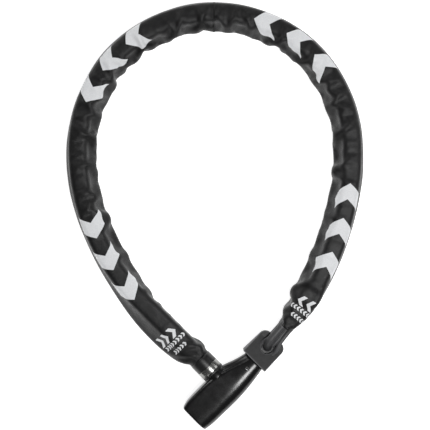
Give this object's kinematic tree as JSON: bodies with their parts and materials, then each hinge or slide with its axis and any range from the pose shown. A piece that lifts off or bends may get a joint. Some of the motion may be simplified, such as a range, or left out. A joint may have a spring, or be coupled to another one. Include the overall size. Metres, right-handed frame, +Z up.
{
  "type": "chain lock",
  "caption": "Chain lock: tilted steel links in a black fabric sleeve, a slim lock head with an eye at one end, and a plug that locks into its side.",
  "frame": {"origin": "middle of the lock's box in plan, on the surface that it lies on", "axes": "+Y runs from the lock head to the top of the loop, +X to the side that stays with the head, +Z up"},
  "size_m": [0.356, 0.5122, 0.03],
  "materials": {
    "jacket_gloss": "glossy black moulded shell",
    "core_metal": "bare die casting",
    "hard_steel": "hardened steel",
    "spring_steel": "spring wire",
    "cap_rubber": "matte dark grey moulded cap",
    "cover_rubber": "satin dark grey coating",
    "face_plastic": "matte black face plate",
    "brass": "machined brass",
    "ring_steel": "turned satin steel",
    "seal_rubber": "black seal",
    "collar_plastic": "satin black collar",
    "sleeve_fabric": "black woven nylon with pale printed marks",
    "chain_zinc": "zinc-plated chain steel"
  },
  "bodies": {
    "root": {"jacket": "jacket_gloss", "lock_core": "core_metal", "socket_bush": "hard_steel", "eye_lug": "core_metal", "cross_pin": "hard_steel", "eye_cap": "cap_rubber", "key_bezel": "face_plastic", "cylinder_housing": "brass", "housing_pin": "hard_steel", "shutter_pin": "hard_steel", "shutter_spring": "spring_steel", "end_link_cover": "cover_rubber", "sleeve_right": "sleeve_fabric", "end_link": "chain_zinc", "link_1": "chain_zinc", "link_2": "chain_zinc", "link_3": "chain_zinc", "link_4": "chain_zinc", "link_5": "chain_zinc"},
    "chain": {"sleeve_left": "sleeve_fabric", "link_6": "chain_zinc", "link_7": "chain_zinc", "link_8": "chain_zinc", "link_9": "chain_zinc", "link_10": "chain_zinc", "link_11": "chain_zinc", "link_12": "chain_zinc", "link_13": "chain_zinc", "link_14": "chain_zinc", "link_15": "chain_zinc", "link_16": "chain_zinc", "link_17": "chain_zinc", "link_18": "chain_zinc", "link_19": "chain_zinc", "link_20": "chain_zinc", "link_21": "chain_zinc", "link_22": "chain_zinc", "link_23": "chain_zinc", "link_24": "chain_zinc", "link_25": "chain_zinc", "link_26": "chain_zinc", "link_27": "chain_zinc", "link_28": "chain_zinc"},
    "plug": {"plug_pin": "hard_steel", "plug_seal": "seal_rubber", "plug_ring": "ring_steel", "plug_collar": "collar_plastic", "plug_cuff": "collar_plastic", "sleeve_plug_end": "sleeve_fabric"},
    "barrel": {"rotor": "brass", "sidebar": "hard_steel", "cam": "hard_steel", "bolt_spring": "spring_steel"},
    "bolt": {"locking_bolt": "hard_steel"},
    "flap": {"shutter": "hard_steel"},
    "disc_1_body": {"disc_1": "brass"},
    "disc_2_body": {"disc_2": "brass"},
    "disc_3_body": {"disc_3": "brass"},
    "disc_4_body": {"disc_4": "brass"},
    "disc_5_body": {"disc_5": "brass"}
  },
  "joints": [
    {"name": "chain_bend", "type": "hinge", "parent": "root", "child": "chain", "pos_m": [0.16357, 0.05061, 0.015], "axis": [0, 0, 1], "range_deg": [-20, 0]},
    {"name": "plug_swivel", "type": "hinge", "parent": "chain", "child": "plug", "pos_m": [-0.03234, -0.15851, 0.015], "axis": [0, 0, 1], "range_deg": [0, 20]},
    {"name": "cylinder_turn", "type": "hinge", "parent": "root", "child": "barrel", "pos_m": [-0.02584, -0.2428, 0.015], "axis": [0.7071, 0.7071, 0], "range_deg": [0, 90]},
    {"name": "bolt_slide", "type": "slide", "parent": "root", "child": "bolt", "axis": [0.7071, 0.7071, 0], "range_m": [0, 0.0037]},
    {"name": "shutter_swing", "type": "hinge", "parent": "root", "child": "flap", "pos_m": [-0.02584, -0.2428, 0.0238], "axis": [0.7071, 0.7071, 0], "range_deg": [0, 50], "stiffness_Nm_per_rad": 0.001, "springref_deg": -20.05},
    {"name": "disc_1_turn", "type": "hinge", "parent": "barrel", "child": "disc_1_body", "pos_m": [-0.02584, -0.2428, 0.015], "axis": [0.7071, 0.7071, 0], "range_deg": [-81.5, 0]},
    {"name": "disc_2_turn", "type": "hinge", "parent": "barrel", "child": "disc_2_body", "pos_m": [-0.02584, -0.2428, 0.015], "axis": [0.7071, 0.7071, 0], "range_deg": [-32, 0]},
    {"name": "disc_3_turn", "type": "hinge", "parent": "barrel", "child": "disc_3_body", "pos_m": [-0.02584, -0.2428, 0.015], "axis": [0.7071, 0.7071, 0], "range_deg": [-63.5, 0]},
    {"name": "disc_4_turn", "type": "hinge", "parent": "barrel", "child": "disc_4_body", "pos_m": [-0.02584, -0.2428, 0.015], "axis": [0.7071, 0.7071, 0], "range_deg": [-18.5, 0]},
    {"name": "disc_5_turn", "type": "hinge", "parent": "barrel", "child": "disc_5_body", "pos_m": [-0.02584, -0.2428, 0.015], "axis": [0.7071, 0.7071, 0], "range_deg": [-50, 0]}
  ],
  "couplings": [
    {"joint": "plug_swivel", "follows": "chain_bend", "ratio": -1},
    {"joint": "bolt_slide", "follows": "cylinder_turn", "m_per_rad": 0.0022916},
    {"joint": "disc_1_turn", "follows": "cylinder_turn", "ratio": -0.9},
    {"joint": "disc_2_turn", "follows": "cylinder_turn", "ratio": -0.35},
    {"joint": "disc_3_turn", "follows": "cylinder_turn", "ratio": -0.7},
    {"joint": "disc_4_turn", "follows": "cylinder_turn", "ratio": -0.2},
    {"joint": "disc_5_turn", "follows": "cylinder_turn", "ratio": -0.55}
  ]
}
